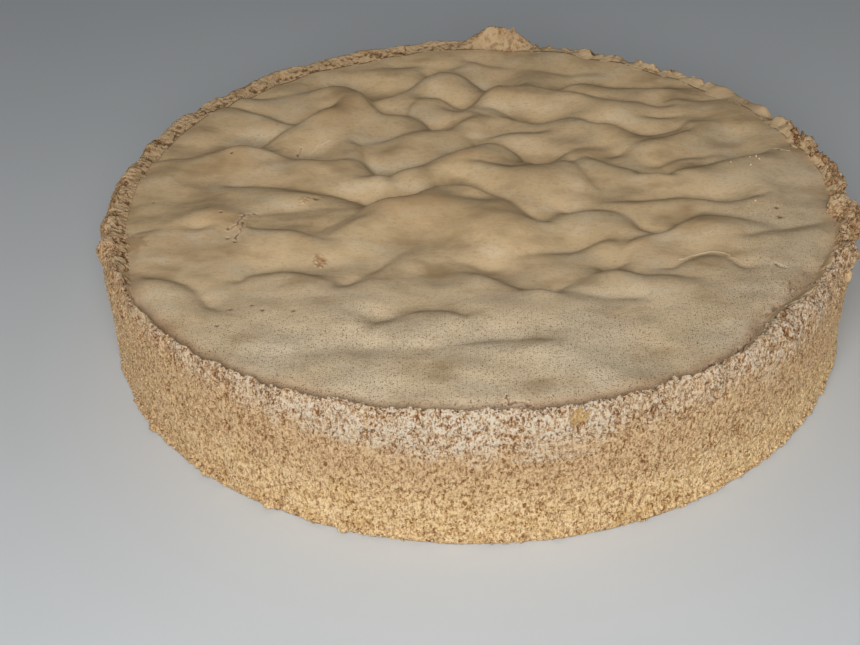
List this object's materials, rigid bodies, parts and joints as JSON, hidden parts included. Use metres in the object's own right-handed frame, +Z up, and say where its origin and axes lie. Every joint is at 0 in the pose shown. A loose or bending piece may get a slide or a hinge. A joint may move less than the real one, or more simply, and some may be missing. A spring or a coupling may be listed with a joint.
{
  "type": "mascarpone cake",
  "caption": "Whole round mascarpone sponge cake, low and wide, with an upright crumb side, a craggy baked rim and a puckered, browned skin on top.",
  "frame": {"origin": "middle of the flat base, on the surface the cake stands on", "axes": "+Z up through the thickness of the cake; -Y towards the viewer of the picture, +X to the viewer's right"},
  "size_m": [0.2614, 0.26, 0.0552],
  "materials": {
    "sponge": "matte baked crumb, with a smooth dry skin on top"
  },
  "bodies": {
    "root": {"cake": "sponge"}
  },
  "joints": []
}
